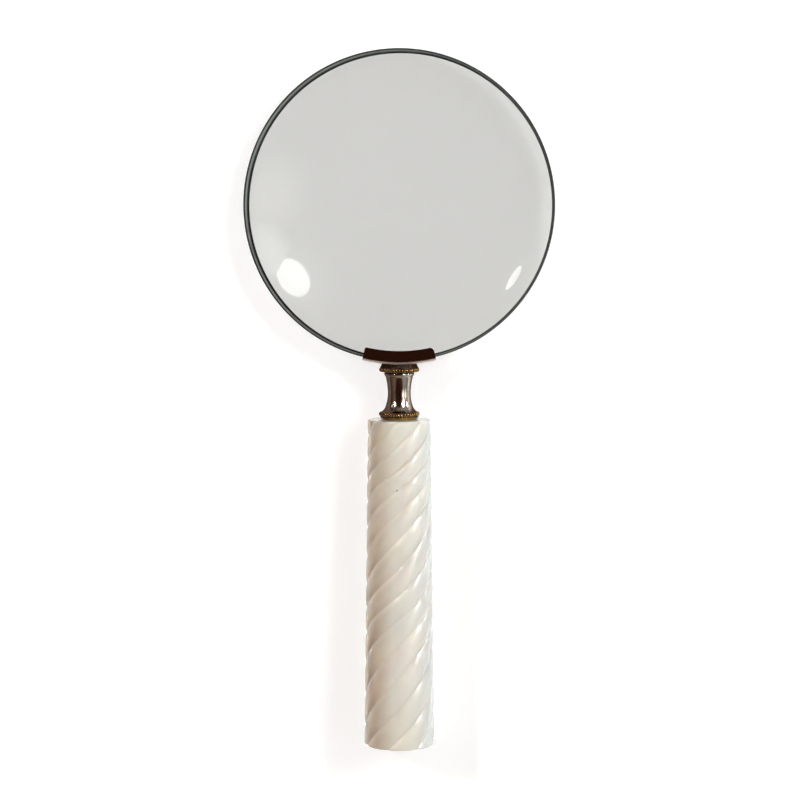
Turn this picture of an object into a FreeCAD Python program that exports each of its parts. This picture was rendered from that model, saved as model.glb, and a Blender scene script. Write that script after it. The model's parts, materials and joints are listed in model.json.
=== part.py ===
import FreeCAD, Part
import math
import os
import re
import Sketcher

# Hand-held magnifying glass: a rimless lens in a curved channel, a turned metal ferrule with two
# beaded rings, and a spirally fluted bone handle, all drawn together by one tie rod.
#
# Every piece is drawn in one shared set of axes: the origin is the middle of the lens, +Y points
# out of its front face and +Z runs along the handle to the butt. rest_placement() then lays the
# whole object on a table, front face up, with the handle towards -Y of the row.

doc = FreeCAD.newDocument("magnifying_glass")

SIZES = (
    # lens
    ("lens_radius", 50.8),
    ("lens_face_radius", 234.0),
    ("lens_middle_thickness", 15.2),
    ("lens_bevel_width", 1.4),
    ("lens_bevel_drop", 1.0),
    # channel that grips the lens
    ("cement_thickness", 0.1),
    ("cement_side_height", 2.4),
    ("strip_thickness", 0.85),
    ("lip_height", 4.2),
    ("lip_gap", 5.7),
    ("channel_outer_bend", 1.1),
    ("channel_inner_bend", 0.2),
    ("channel_span_angle", 27.2),
    ("cement_span_angle", 26.4),
    ("left_lip_corner", 0.6),
    ("right_lip_corner", 1.5),
    # ferrule, from the channel down to the handle
    ("upper_collar_height", 1.2),
    ("upper_collar_top_radius", 5.6),
    ("upper_collar_foot_radius", 6.35),
    ("bead_ring_height", 1.35),
    ("bead_ring_flat", 0.45),
    ("upper_bead_ring_radius", 6.64),
    ("lower_bead_ring_radius", 6.74),
    ("upper_spigot_radius", 4.2),
    ("lower_spigot_radius", 4.6),
    ("column_height", 13.2),
    ("column_shoulder_height", 0.75),
    ("column_shoulder_round", 0.4),
    ("column_neck_radius", 4.8),
    ("column_waist_curve", 15.0),
    ("column_flare_start_radius", 4.9),
    ("column_flare_height", 1.1),
    ("column_flare_radius", 6.1),
    ("column_flare_curve", 2.5),
    ("base_collar_height", 1.1),
    ("base_collar_top_radius", 6.35),
    ("base_collar_foot_radius", 5.75),
    # tie rod and what it passes through
    ("rod_radius", 2.0),
    ("rod_clearance", 0.1),
    ("rod_head_radius", 3.0),
    ("rod_end_chamfer", 0.4),
    ("rod_beyond_nut", 0.7),
    ("nut_across_flats", 7.0),
    ("nut_height", 3.2),
    ("nut_chamfer_width", 0.7),
    ("nut_chamfer_drop", 0.35),
    ("washer_radius", 6.2),
    ("washer_thickness", 1.0),
    # handle
    ("handle_length", 108.6),
    ("handle_top_radius", 10.4),
    ("handle_butt_radius", 11.7),
    ("marrow_bore_radius", 4.5),
    ("butt_recess_radius", 6.5),
    ("butt_recess_depth", 8.3),
    ("butt_plug_thickness", 3.0),
    ("glue_gap", 0.05),
    # flutes: how far apart the grooves are along the front of the handle, and how that wanders
    ("flute_count", 7),
    ("flute_depth", 0.7),
    ("first_groove_offset", -0.5),
    ("groove_pitch", 7.22),
    ("groove_pitch_growth", 0.125),
    ("groove_wander", 0.95),
    ("groove_wander_period", 5.0),
    ("groove_wander_start", 1.5),
)

SECTIONS = 54  # cross-sections that the fluted blank is lofted through
TRIM = 2.0  # how far a cutting shape runs past the piece it cuts

sheet = doc.addObject("Spreadsheet::Sheet", "Sizes")
for row, (name, size) in enumerate(SIZES, start=1):
    sheet.set(f"A{row}", name)
    sheet.set(f"B{row}", str(size))
    sheet.setAlias(f"B{row}", name)
doc.recompute()


def size_of(name):
    """A driving dimension, read from the sheet."""
    return float(sheet.get(name))


def of(text):
    """The expression for a sum of driving dimensions, with each word turned into its cell."""
    return re.sub(r"[a-z]+(?:_[a-z]+)+", r"Sizes.\g<0>", text)


# Distances along the handle axis from the middle of the lens.
WEB_INSIDE = "lens_radius + cement_thickness"
WEB_OUTSIDE = f"{WEB_INSIDE} + strip_thickness"
UPPER_RING_TOP = f"{WEB_OUTSIDE} + upper_collar_height"
COLUMN_TOP = f"{UPPER_RING_TOP} + bead_ring_height"
COLUMN_FOOT = f"{COLUMN_TOP} + column_height"
BASE_COLLAR_TOP = f"{COLUMN_FOOT} + bead_ring_height"
HANDLE_TOP = f"{BASE_COLLAR_TOP} + base_collar_height"
HANDLE_BUTT = f"{HANDLE_TOP} + handle_length"
RECESS_FLOOR = f"{HANDLE_BUTT} - butt_recess_depth"
NUT_TOP = f"{RECESS_FLOOR} + washer_thickness"
NUT_FOOT = f"{NUT_TOP} + nut_height"
ROD_END = f"{NUT_FOOT} + rod_beyond_nut"
PLUG_TOP = f"{HANDLE_BUTT} - butt_plug_thickness"
ROD_HOLE = "rod_radius + rod_clearance"


def value_of(text):
    """The length that an expression comes to."""
    return float(sheet.evalExpression(of(text)))


def rest_placement():
    """Lies the glass on its back: on the bulge of the lens and on the rim of the handle's top."""
    face = size_of("lens_face_radius")
    face_centre = face - size_of("lens_middle_thickness") / 2
    handle_top = value_of(HANDLE_TOP)
    lever = face_centre + size_of("handle_top_radius")
    reach = math.hypot(lever, handle_top)
    tilt = math.acos(face / reach) - math.atan2(handle_top, lever)
    height = face - face_centre * math.cos(tilt)
    edge = size_of("lens_middle_thickness") / 2 - lens_sag("lens_radius - lens_bevel_width")
    edge -= size_of("lens_bevel_drop")
    far = size_of("lens_radius") * math.cos(tilt) + edge * math.sin(tilt)
    near = value_of(HANDLE_BUTT) * math.cos(tilt) + size_of("handle_butt_radius") * math.sin(tilt)
    turn = FreeCAD.Rotation(FreeCAD.Vector(1, 0, 0), 90 - math.degrees(tilt))
    return FreeCAD.Placement(FreeCAD.Vector(0, (near - far) / 2, height), turn)


def lens_sag(radius_text):
    """How far the lens's face has fallen away at this distance from its middle."""
    face = size_of("lens_face_radius")
    return face - math.sqrt(face**2 - value_of(radius_text) ** 2)


def new_body(label):
    body = doc.addObject("PartDesign::Body", label)
    body.Label = label
    return body


def attach(body, item, plane):
    """Attaches a sketch or a primitive to one of the body's own origin planes."""
    datum = next(part for part in body.Origin.OriginFeatures if part.Role == plane)
    item.AttachmentSupport = [(datum, "")]
    item.MapMode = "FlatFace"


def new_sketch(body, name, plane):
    sketch = body.newObject("Sketcher::SketchObject", f"{body.Name}_{name}")
    attach(body, sketch, plane)
    return sketch


def seat_on_axis(body, primitive, station):
    """Stands a primitive on the handle axis, starting at this distance from the lens."""
    attach(body, primitive, "XY_Plane")
    primitive.setExpression("AttachmentOffset.Base.z", of(station))


def arc_between(start, end, radius):
    """The short arc between two points. It turns left on its way where radius is above zero."""
    chord = end - start
    middle = (start + end) * 0.5
    rise = math.sqrt(radius**2 - (chord.Length / 2) ** 2)
    left = FreeCAD.Vector(-chord.y, chord.x, 0).normalize()
    centre = middle + left * math.copysign(rise, radius)
    first, last = (start, end) if radius > 0 else (end, start)
    angles = [math.atan2(point.y - centre.y, point.x - centre.x) for point in (first, last)]
    circle = Part.Circle(centre, FreeCAD.Vector(0, 0, 1), abs(radius))
    return Part.ArcOfCircle(circle, *angles)


def bind(sketch, constraint, expression):
    """Adds a constraint and ties its value to the sheet."""
    index = sketch.addConstraint(constraint)
    sketch.setExpression(f"Constraints[{index}]", expression)


def draw_outline(sketch, corners):
    """Draws a closed outline through corners, each (across, up) or (across, up, bend), as expressions.

    bend is the radius of the arc that arrives at that corner: it turns left where it is positive,
    and right where it starts with a minus sign.
    """
    points = []
    for corner in corners:
        points.append(FreeCAD.Vector(value_of(corner[0]), value_of(corner[1]), 0))
    tips = []
    for index, corner in enumerate(corners):
        start, end = points[index - 1], points[index]
        if len(corner) == 3:
            radius = value_of(corner[2])
            geometry = sketch.addGeometry(arc_between(start, end, radius))
            size = corner[2].lstrip("- ")
            bind(sketch, Sketcher.Constraint("Radius", geometry, abs(radius)), of(size))
            tips.append((geometry, 1, 2) if radius > 0 else (geometry, 2, 1))
        else:
            geometry = sketch.addGeometry(Part.LineSegment(start, end))
            tips.append((geometry, 1, 2))
    for index, corner in enumerate(corners):
        line, _, tip = tips[index]
        following, tail, _ = tips[(index + 1) % len(corners)]
        sketch.addConstraint(Sketcher.Constraint("Coincident", line, tip, following, tail))
        point = points[index]
        if corner[0] == "0":
            sketch.addConstraint(Sketcher.Constraint("PointOnObject", line, tip, -2))
        else:
            across = Sketcher.Constraint("DistanceX", -1, 1, line, tip, point.x)
            bind(sketch, across, of(corner[0]))
        if corner[1] == "0":
            sketch.addConstraint(Sketcher.Constraint("PointOnObject", line, tip, -1))
        else:
            up = Sketcher.Constraint("DistanceY", -1, 1, line, tip, point.y)
            bind(sketch, up, of(corner[1]))


def revolve(body, sketch, axis, name="Turning", kind="Revolution", angle=None):
    """Turns a sketch about one of its own axes, all the way round or by angle about its plane."""
    feature = body.newObject(f"PartDesign::{kind}", f"{body.Name}_{name}")
    feature.Profile = sketch
    feature.ReferenceAxis = (sketch, [axis])
    feature.Angle = 360
    if angle:
        feature.Midplane = True
        feature.setExpression("Angle", of(angle))
    return feature


def turned(label, corners):
    """A piece turned about the handle axis, from (radius, distance from the lens) corners."""
    body = new_body(label)
    sketch = new_sketch(body, "Profile", "XZ_Plane")
    draw_outline(sketch, corners)
    revolve(body, sketch, "V_Axis")
    return body


def ring(label, inner, outer, top, foot):
    """A plain turned ring or disc with square edges."""
    return turned(label, ((inner, top), (outer, top), (outer, foot), (inner, foot)))


def glass_outline():
    """Half of the lens's cross-section: two spherical faces, a ground edge and a bevel on each side."""
    bevel_radius = "(lens_radius - lens_bevel_width)"
    sag = f"lens_face_radius - sqrt(lens_face_radius ^ 2 - {bevel_radius} ^ 2)"
    face_edge = f"lens_middle_thickness / 2 - ({sag})"
    edge = f"{face_edge} - lens_bevel_drop"
    return (
        ("0", "0 - lens_middle_thickness / 2"),
        (bevel_radius, f"0 - ({face_edge})", "lens_face_radius"),
        ("lens_radius", f"0 - ({edge})"),
        ("lens_radius", edge),
        (bevel_radius, face_edge),
        ("0", "lens_middle_thickness / 2", "lens_face_radius"),
    )


def make_lens():
    body = new_body("lens")
    sketch = new_sketch(body, "Profile", "XY_Plane")
    draw_outline(sketch, glass_outline())
    revolve(body, sketch, "V_Axis")
    return body


def edges_along_y(shape, near, side):
    """Names of the straight edges along Y that lie near this distance from the lens's axis."""
    names = []
    for index, edge in enumerate(shape.Edges, start=1):
        ends = [vertex.Point for vertex in edge.Vertexes]
        if len(ends) != 2:
            continue
        across = math.hypot(ends[1].x - ends[0].x, ends[1].z - ends[0].z)
        distance = math.hypot(ends[0].x, ends[0].z)
        if across < 1e-6 and abs(distance - near) < 0.01 and ends[0].x * side > 0:
            names.append(f"Edge{index}")
    return names


def make_saddle_channel():
    """A strip bent into a U and curved round the lens, with a countersunk hole for the tie rod."""
    body = new_body("saddle_channel")
    sketch = new_sketch(body, "Section", "YZ_Plane")
    inside = "(lip_gap / 2)"
    outside = "(lip_gap / 2 + strip_thickness)"
    lip_top = f"({WEB_OUTSIDE} - lip_height)"
    corners = (
        (f"0 - {inside}", f"{WEB_INSIDE} - channel_inner_bend"),
        (f"0 - {inside} + channel_inner_bend", WEB_INSIDE, "-channel_inner_bend"),
        (f"{inside} - channel_inner_bend", WEB_INSIDE),
        (inside, f"{WEB_INSIDE} - channel_inner_bend", "-channel_inner_bend"),
        (inside, lip_top),
        (outside, lip_top),
        (outside, f"{WEB_OUTSIDE} - channel_outer_bend"),
        (f"{outside} - channel_outer_bend", WEB_OUTSIDE, "channel_outer_bend"),
        (f"0 - {outside} + channel_outer_bend", WEB_OUTSIDE),
        (f"0 - {outside}", f"{WEB_OUTSIDE} - channel_outer_bend", "channel_outer_bend"),
        (f"0 - {outside}", lip_top),
        (f"0 - {inside}", lip_top),
    )
    draw_outline(sketch, corners)
    revolve(body, sketch, "H_Axis", angle="channel_span_angle")
    doc.recompute()
    top = value_of(lip_top)
    for side, corner in ((-1, "left_lip_corner"), (1, "right_lip_corner")):
        fillet = body.newObject("PartDesign::Fillet", f"{body.Name}_{corner}")
        fillet.Base = (fillet.BaseFeature, edges_along_y(fillet.BaseFeature.Shape, top, side))
        fillet.setExpression("Radius", of(corner))
        doc.recompute()
    hole = new_sketch(body, "RodHole", "XZ_Plane")
    hole_corners = (
        ("0", f"{WEB_INSIDE} - strip_thickness"),
        ("rod_head_radius + strip_thickness + glue_gap", f"{WEB_INSIDE} - strip_thickness"),
        ("rod_radius + glue_gap", WEB_OUTSIDE),
        ("rod_radius + glue_gap", f"{WEB_OUTSIDE} + strip_thickness"),
        ("0", f"{WEB_OUTSIDE} + strip_thickness"),
    )
    draw_outline(hole, hole_corners)
    revolve(body, hole, "V_Axis", "Countersink", "Groove")
    return body


def make_lens_cement():
    """The bed of cement between the glass and the channel, filled up to the glass's own faces."""
    body = new_body("lens_cement")
    sketch = new_sketch(body, "Section", "YZ_Plane")
    side = "(lip_gap / 2 - glue_gap)"
    top = f"{WEB_INSIDE} - cement_side_height"
    foot = f"{WEB_INSIDE} - glue_gap"
    corners = ((f"0 - {side}", top), (side, top), (side, foot), (f"0 - {side}", foot))
    draw_outline(sketch, corners)
    revolve(body, sketch, "H_Axis", angle="cement_span_angle")
    seat = new_sketch(body, "GlassSeat", "XY_Plane")
    draw_outline(seat, glass_outline())
    revolve(body, seat, "V_Axis", "Seat", "Groove")
    return body


def make_upper_collar():
    """The cone that seats the channel on the ferrule, hollowed to the channel's curve."""
    rise = "upper_collar_height"
    top = f"{WEB_OUTSIDE} - {rise}"
    corners = (
        (ROD_HOLE, top),
        ("upper_collar_top_radius", top),
        ("upper_collar_top_radius", WEB_OUTSIDE),
        ("upper_collar_foot_radius", UPPER_RING_TOP),
        (ROD_HOLE, UPPER_RING_TOP),
    )
    body = turned("upper_collar", corners)
    sketch = new_sketch(body, "ChannelCurve", "XZ_Plane")
    circle = Part.Circle(FreeCAD.Vector(), FreeCAD.Vector(0, 0, 1), value_of(WEB_OUTSIDE))
    curve = sketch.addGeometry(circle)
    sketch.addConstraint(Sketcher.Constraint("Coincident", curve, 3, -1, 1))
    bind(sketch, Sketcher.Constraint("Radius", curve, circle.Radius), of(WEB_OUTSIDE))
    pocket = body.newObject("PartDesign::Pocket", "upper_collar_Seat")
    pocket.Profile = sketch
    pocket.Midplane = True
    pocket.setExpression("Length", of(f"upper_collar_foot_radius * 2 + {TRIM}"))
    return body


def make_bead_ring(label, inner, outer, top, foot):
    """A ring of beaded wire, as the plain round-backed ring that holds its beads."""
    flat = "bead_ring_flat"
    swell = f"({outer} - {flat})"
    return turned(
        label,
        (
            (inner, top),
            (swell, top),
            (outer, f"{top} + {flat}"),
            (outer, f"{foot} - {flat}"),
            (swell, foot),
            (inner, foot),
        ),
    )


def make_column():
    """The waisted column, with a spigot at each end for a beaded ring."""
    shoulder_foot = f"{COLUMN_TOP} + column_shoulder_height"
    corners = (
        (ROD_HOLE, UPPER_RING_TOP),
        ("upper_spigot_radius", UPPER_RING_TOP),
        ("upper_spigot_radius", COLUMN_TOP),
        ("column_neck_radius", COLUMN_TOP),
        ("column_neck_radius", shoulder_foot, "column_shoulder_round"),
        ("column_flare_start_radius", f"{COLUMN_FOOT} - column_flare_height", "-column_waist_curve"),
        ("column_flare_radius", COLUMN_FOOT, "-column_flare_curve"),
        ("lower_spigot_radius", COLUMN_FOOT),
        ("lower_spigot_radius", BASE_COLLAR_TOP),
        (ROD_HOLE, BASE_COLLAR_TOP),
    )
    return turned("column", corners)


def make_base_collar():
    corners = (
        (ROD_HOLE, BASE_COLLAR_TOP),
        ("base_collar_top_radius", BASE_COLLAR_TOP),
        ("base_collar_foot_radius", HANDLE_TOP),
        (ROD_HOLE, HANDLE_TOP),
    )
    return turned("base_collar", corners)


def make_tie_rod():
    """The rod from the channel to the butt, with its end spread into the channel's countersink."""
    corners = (
        ("0", WEB_INSIDE),
        ("rod_head_radius", WEB_INSIDE),
        ("rod_radius", WEB_OUTSIDE),
        ("rod_radius", f"{ROD_END} - rod_end_chamfer"),
        ("rod_radius - rod_end_chamfer", ROD_END),
        ("0", ROD_END),
    )
    return turned("tie_rod", corners)


def make_butt_nut():
    """A hexagon nut, with both ends of its corners taken off by a cone."""
    body = new_body("butt_nut")
    prism = body.newObject("PartDesign::AdditivePrism", "butt_nut_Hexagon")
    prism.Polygon = 6
    prism.setExpression("Circumradius", of("nut_across_flats / sqrt(3)"))
    prism.setExpression("Height", of("nut_height"))
    seat_on_axis(body, prism, NUT_TOP)
    bore = body.newObject("PartDesign::SubtractiveCylinder", "butt_nut_Bore")
    bore.setExpression("Radius", of("rod_radius + glue_gap"))
    bore.setExpression("Height", of("nut_height"))
    seat_on_axis(body, bore, NUT_TOP)
    corner_radius = "nut_across_flats / sqrt(3)"
    for name, end, inward in (("Top", NUT_TOP, "+"), ("Foot", NUT_FOOT, "-")):
        sketch = new_sketch(body, name, "XZ_Plane")
        beyond = f"{corner_radius} + nut_chamfer_width"
        corners = (
            (f"{corner_radius} - nut_chamfer_width", end),
            (beyond, end),
            (beyond, f"{end} {inward} 2 * nut_chamfer_drop"),
        )
        draw_outline(sketch, corners)
        revolve(body, sketch, "V_Axis", f"{name}Chamfer", "Groove")
    return body


def groove_station(passed):
    """Where along the front of the handle the groove with this number lies."""
    swing = math.cos(
        2 * math.pi * (passed - size_of("groove_wander_start")) / size_of("groove_wander_period")
    )
    along = size_of("groove_pitch") * passed + size_of("groove_pitch_growth") * passed**2
    start = value_of(HANDLE_TOP) + size_of("first_groove_offset")
    return start + along + size_of("groove_wander") * swing


def grooves_passed(station):
    """How many grooves lie between the first one and this station, as a fraction."""
    low, high = -5.0, 50.0
    while high - low > 1e-9:
        middle = (low + high) / 2
        if groove_station(middle) < station:
            low = middle
        else:
            high = middle
    return (low + high) / 2


def flute_section(station):
    """The rope-like cross-section: equal arcs that meet in sharp grooves."""
    count = round(size_of("flute_count"))
    along = (station - value_of(HANDLE_TOP)) / size_of("handle_length")
    top, butt = size_of("handle_top_radius"), size_of("handle_butt_radius")
    crest = top + (butt - top) * along
    groove = crest - size_of("flute_depth")
    turn = -2 * math.pi * grooves_passed(station) / count
    edges = []
    for flute in range(count):
        points = []
        for share, radius in ((0.0, groove), (0.5, crest), (1.0, groove)):
            angle = turn + 2 * math.pi * (flute + share) / count
            across, front = radius * math.sin(angle), radius * math.cos(angle)
            points.append(FreeCAD.Vector(across, front, station))
        edges.append(Part.Arc(*points).toShape())
    return Part.Wire(edges)


def make_handle_sleeve():
    """The carved bone: a fluted blank whose twist slackens towards the butt, bored for the core."""
    top, butt = value_of(HANDLE_TOP), value_of(HANDLE_BUTT)
    step = (butt - top) / (SECTIONS - 1)
    wires = [flute_section(top + index * step) for index in range(SECTIONS)]
    blank = doc.addObject("Part::Feature", "FlutedBlank")
    blank.Shape = Part.makeLoft(wires, True, False)
    body = new_body("handle_sleeve")
    body.BaseFeature = blank
    doc.recompute()
    sketch = new_sketch(body, "Bore", "XZ_Plane")
    corners = (
        ("0", f"{HANDLE_TOP} - {TRIM}"),
        ("marrow_bore_radius", f"{HANDLE_TOP} - {TRIM}"),
        ("marrow_bore_radius", RECESS_FLOOR),
        ("butt_recess_radius", RECESS_FLOOR),
        ("butt_recess_radius", f"{HANDLE_BUTT} + {TRIM}"),
        ("0", f"{HANDLE_BUTT} + {TRIM}"),
    )
    draw_outline(sketch, corners)
    revolve(body, sketch, "V_Axis", "MarrowBore", "Groove")
    return body


def check_document():
    """Stops if any object failed to build."""
    for item in doc.Objects:
        if "Invalid" in item.State or "Error" in item.State:
            raise RuntimeError(f"{item.Label} did not build: {item.State}")


parts = [
    make_lens(),
    make_saddle_channel(),
    make_lens_cement(),
    make_upper_collar(),
    make_bead_ring(
        "upper_bead_ring",
        "upper_spigot_radius",
        "upper_bead_ring_radius",
        UPPER_RING_TOP,
        COLUMN_TOP,
    ),
    make_column(),
    make_bead_ring(
        "lower_bead_ring",
        "lower_spigot_radius",
        "lower_bead_ring_radius",
        COLUMN_FOOT,
        BASE_COLLAR_TOP,
    ),
    make_base_collar(),
    make_tie_rod(),
    make_handle_sleeve(),
    ring(
        "core_dowel",
        ROD_HOLE,
        "marrow_bore_radius - glue_gap",
        HANDLE_TOP,
        f"{RECESS_FLOOR} - glue_gap",
    ),
    ring("butt_washer", ROD_HOLE, "washer_radius", RECESS_FLOOR, NUT_TOP),
    make_butt_nut(),
    ring("butt_plug", "0", "butt_recess_radius - glue_gap", PLUG_TOP, HANDLE_BUTT),
]

doc.recompute()
rest = rest_placement()
for part in parts:
    part.Placement = rest
doc.recompute()
check_document()

os.makedirs("parts", exist_ok=True)
for part in parts:
    shape = part.Shape
    if shape.isNull() or not shape.isValid() or len(shape.Solids) != 1:
        raise RuntimeError(f"{part.Label} is not one valid solid")
    shape.exportStep(f"parts/{part.Label}.step")
    print(part.Label, round(shape.Volume, 1), shape.optimalBoundingBox(False))
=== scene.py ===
import json
import math
import bpy
from mathutils import Matrix, Vector


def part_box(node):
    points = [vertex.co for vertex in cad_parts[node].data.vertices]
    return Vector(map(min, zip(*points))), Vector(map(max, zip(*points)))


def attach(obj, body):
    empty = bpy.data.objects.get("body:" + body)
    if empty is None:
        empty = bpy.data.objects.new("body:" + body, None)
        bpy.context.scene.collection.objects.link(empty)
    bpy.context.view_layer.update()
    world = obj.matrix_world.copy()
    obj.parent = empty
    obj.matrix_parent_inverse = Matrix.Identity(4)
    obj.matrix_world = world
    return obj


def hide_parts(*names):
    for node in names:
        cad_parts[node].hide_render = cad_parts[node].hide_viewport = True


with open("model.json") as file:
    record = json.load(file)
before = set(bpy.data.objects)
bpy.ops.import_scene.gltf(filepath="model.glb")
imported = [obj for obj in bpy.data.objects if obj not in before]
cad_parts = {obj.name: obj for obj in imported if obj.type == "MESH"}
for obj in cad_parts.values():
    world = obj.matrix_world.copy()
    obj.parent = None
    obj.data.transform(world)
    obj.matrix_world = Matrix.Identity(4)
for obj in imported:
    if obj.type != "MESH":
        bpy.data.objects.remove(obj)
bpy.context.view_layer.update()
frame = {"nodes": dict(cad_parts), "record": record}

# ------------------------------------------------------------------ axes and sizes, from the frame
# Pieces are drawn in millimetres as the CAD model is: the origin is the middle of the lens, Y
# points out of its front face and Z runs along the handle to the butt. REST lays them on the floor.

MM = 0.001
MOUNTS = {mount["name"]: mount for mount in frame["record"]["mounts"]}
LENS_LOW, LENS_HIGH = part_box("lens")
LENS_MIDDLE = (LENS_LOW + LENS_HIGH) / 2
RIGHT = Vector((1, 0, 0))
DOWN = Vector(MOUNTS["butt_face"]["axis"]).normalized()
FRONT = DOWN.cross(RIGHT)
TURN = Matrix((RIGHT, FRONT, DOWN)).transposed().to_4x4()
REST = Matrix.Translation(LENS_MIDDLE) @ TURN @ Matrix.Scale(MM, 4)
SAME_STATION = 0.05  # millimetres within which two stations count as one


def own_points(node):
    """A CAD node's vertices in the drawing axes, in millimetres."""
    inverse = REST.inverted()
    return [inverse @ vertex.co for vertex in frame["nodes"][node].data.vertices]


def ends_of(node):
    """The stations, along the handle, where a CAD node starts and ends."""
    stations = [point.z for point in own_points(node)]
    return min(stations), max(stations)


def radius_of(node):
    """A CAD node's largest distance from the handle axis."""
    return max(math.hypot(point.x, point.y) for point in own_points(node))


def radius_inside(node):
    """The radius of a CAD node's bore."""
    return min(math.hypot(point.x, point.y) for point in own_points(node))


def radius_at(node, station):
    """A CAD node's largest distance from the handle axis at one end of it."""
    near = [point for point in own_points(node) if abs(point.z - station) < SAME_STATION]
    return max(math.hypot(point.x, point.y) for point in near)


def mix(start, end, share):
    """The number that lies this share of the way from start to end."""
    return start + (end - start) * share


# ------------------------------------------------------------------ meshes

LATHE_STEPS = 96
CURVE_PARTS = 6
EDGE_SEGMENTS = 3
SHARP_ANGLE = math.radians(35)
WELD_DISTANCE = 0.001  # millimetres


def new_piece(name, points, faces, materials, face_materials=None):
    """A mesh object from points in the drawing axes, laid in place and riding on the frame."""
    mesh = bpy.data.meshes.new(name)
    mesh.from_pydata(points, [], faces)
    mesh.transform(REST)
    for material in materials:
        mesh.materials.append(material)
    if face_materials:
        mesh.polygons.foreach_set("material_index", face_materials)
    mesh.polygons.foreach_set("use_smooth", [True] * len(mesh.polygons))
    mesh.update()
    piece = bpy.data.objects.new(name, mesh)
    bpy.context.scene.collection.objects.link(piece)
    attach(piece, "root")
    return piece


def give_values(piece, name, values):
    """Stores one number on every point of a mesh, for its material to read."""
    attribute = piece.data.attributes.new(name, "FLOAT", "POINT")
    attribute.data.foreach_set("value", values)


def round_edges(piece, width):
    """Rounds a piece's sharp edges, and keeps its flat faces flat in the shading."""
    bevel = piece.modifiers.new("Edges", "BEVEL")
    bevel.width = width * MM
    bevel.segments = EDGE_SEGMENTS
    bevel.limit_method = "ANGLE"
    bevel.angle_limit = SHARP_ANGLE
    piece.modifiers.new("Normals", "WEIGHTED_NORMAL")


def weld(piece):
    """Joins points that lie on top of each other, such as those at the poles of the beads."""
    joined = piece.modifiers.new("Weld", "WELD")
    joined.merge_threshold = WELD_DISTANCE * MM


def grid_faces(rows, columns, close_rows, close_columns):
    """The quads of a grid of points, joined up in either direction where it closes on itself."""
    faces = []
    for row in range(rows if close_rows else rows - 1):
        for column in range(columns if close_columns else columns - 1):
            below = (row + 1) % rows * columns
            beside = (column + 1) % columns
            start = row * columns
            faces.append((start + column, start + beside, below + beside, below + column))
    return faces


def lathe(outline):
    """Points and faces of a closed outline of (radius, station) turned about the handle axis."""
    points = []
    for radius, station in outline:
        for step in range(LATHE_STEPS):
            angle = math.tau * step / LATHE_STEPS
            points.append((radius * math.sin(angle), radius * math.cos(angle), station))
    return points, grid_faces(len(outline), LATHE_STEPS, True, True)


def curve_through(knots):
    """A smooth curve through (radius, station) knots: Catmull-Rom, with the end knots doubled."""
    padded = [knots[0], *knots, knots[-1]]
    curve = []
    for first, start, end, last in zip(padded, padded[1:], padded[2:], padded[3:]):
        for part in range(CURVE_PARTS):
            t = part / CURVE_PARTS
            curve.append(tuple(
                0.5 * (2 * b + (c - a) * t + (2 * a - 5 * b + 4 * c - d) * t**2
                       + (3 * b - a - 3 * c + d) * t**3)
                for a, b, c, d in zip(first, start, end, last)
            ))
    return curve + [knots[-1]]


# ------------------------------------------------------------------ materials

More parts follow.
